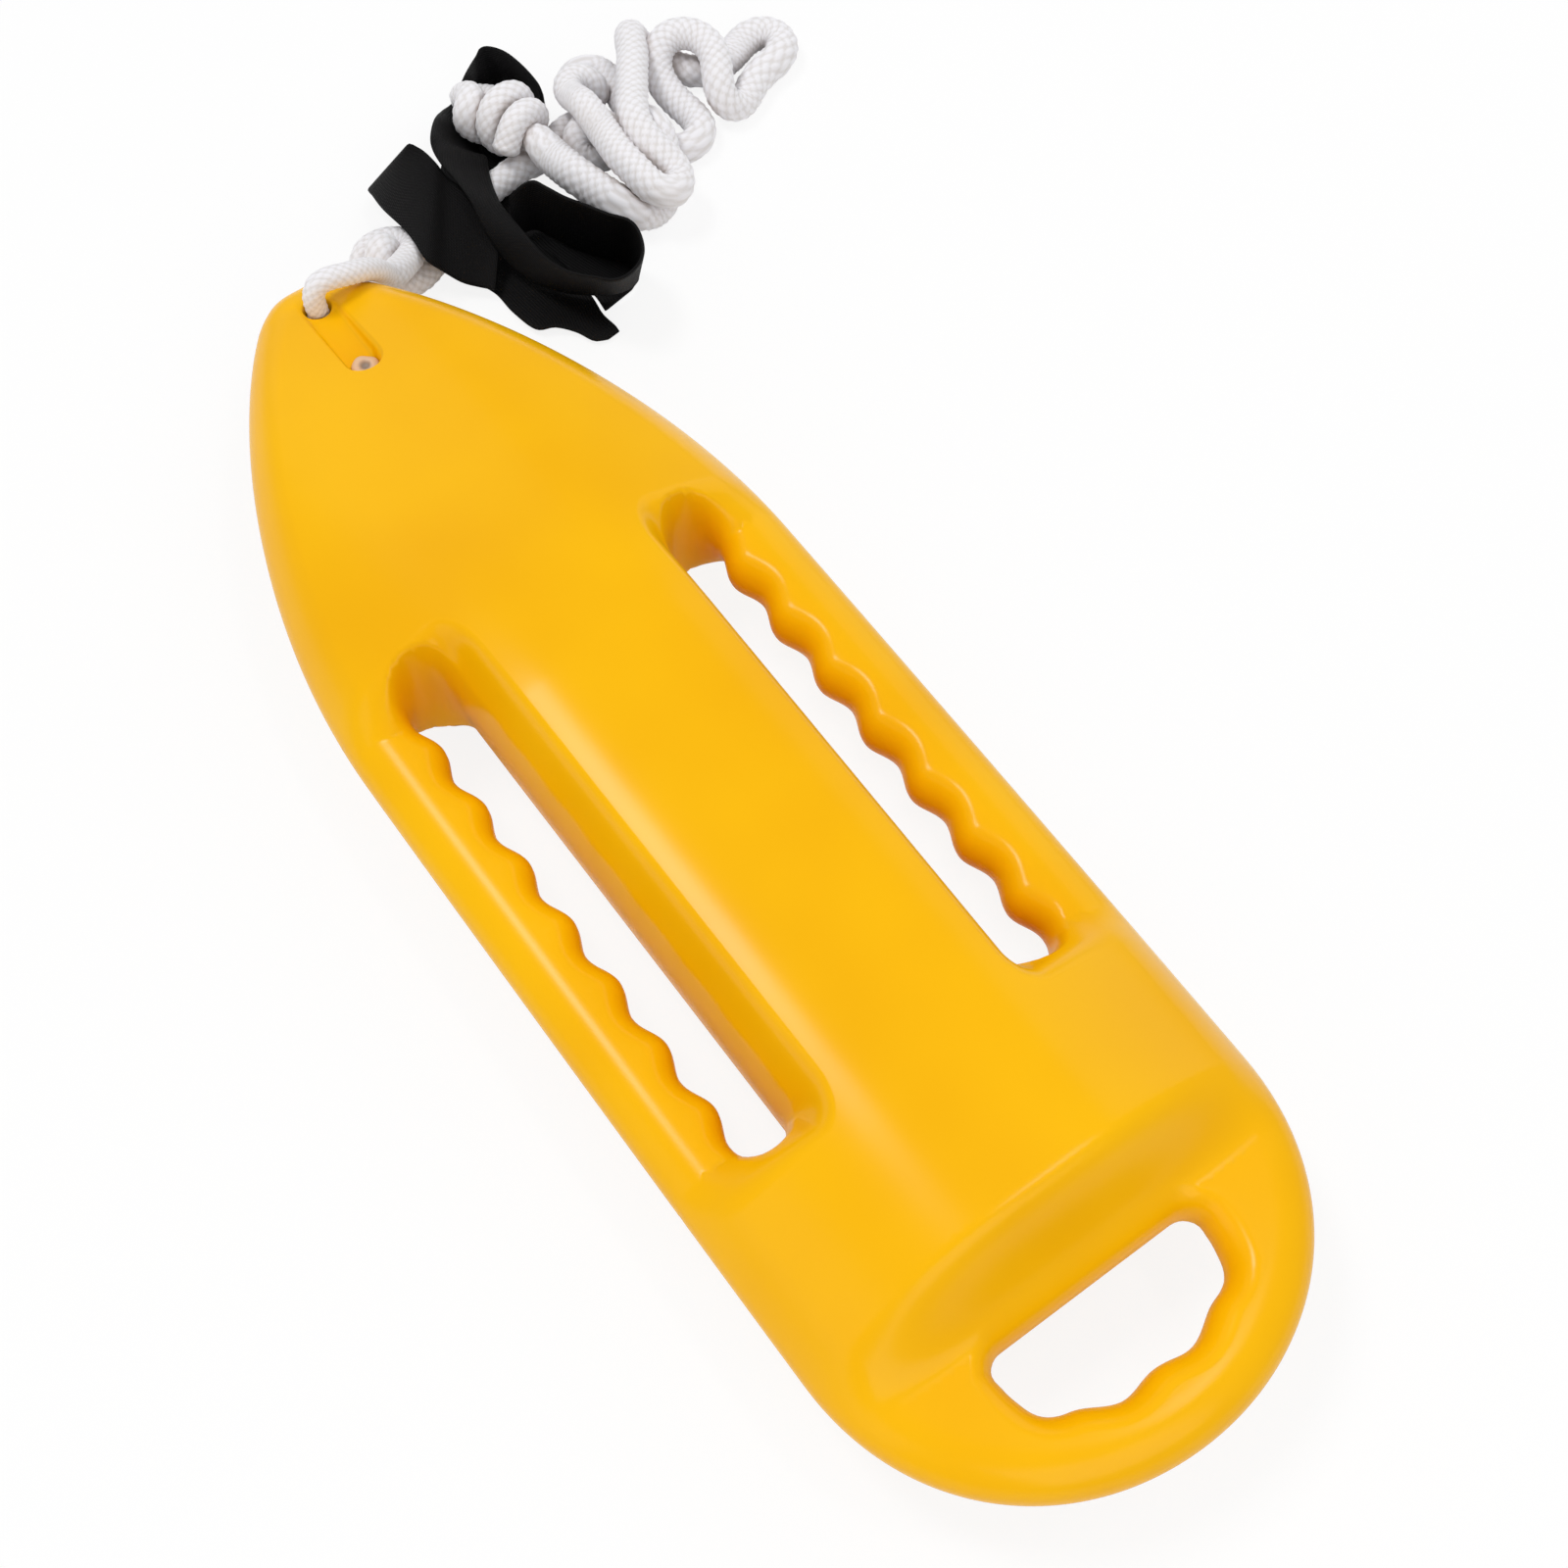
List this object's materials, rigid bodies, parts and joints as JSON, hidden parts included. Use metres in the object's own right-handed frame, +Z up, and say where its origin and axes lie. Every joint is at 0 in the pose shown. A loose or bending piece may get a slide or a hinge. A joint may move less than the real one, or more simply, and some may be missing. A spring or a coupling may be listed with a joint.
{
  "type": "rescue buoy",
  "caption": "Torpedo-shaped hollow rescue float with side and tail hand holes, a knotted tow rope through the nose and a folded shoulder strap.",
  "frame": {"origin": "centre of the bounding box of the float without its rope and strap, on the floor", "axes": "+X towards the nose, +Y towards the float's left side, +Z up"},
  "size_m": [0.8364, 0.4627, 0.1101],
  "materials": {
    "hull_yellow": "moulded, semi-gloss",
    "foam_cream": "matt",
    "plug_black": "matt",
    "rope_white": "braided",
    "rope_end_tan": "melted",
    "webbing_black": "woven"
  },
  "bodies": {
    "root": {"hull_shell": "hull_yellow", "foam_core": "foam_cream", "fill_plug": "plug_black", "rope_anchor_run": "rope_white", "rope_end_collar": "rope_end_tan", "tow_rope_lead": "rope_white", "tow_rope_hank": "rope_white", "shoulder_strap_loop": "webbing_black", "shoulder_strap_tail": "webbing_black"}
  },
  "joints": []
}
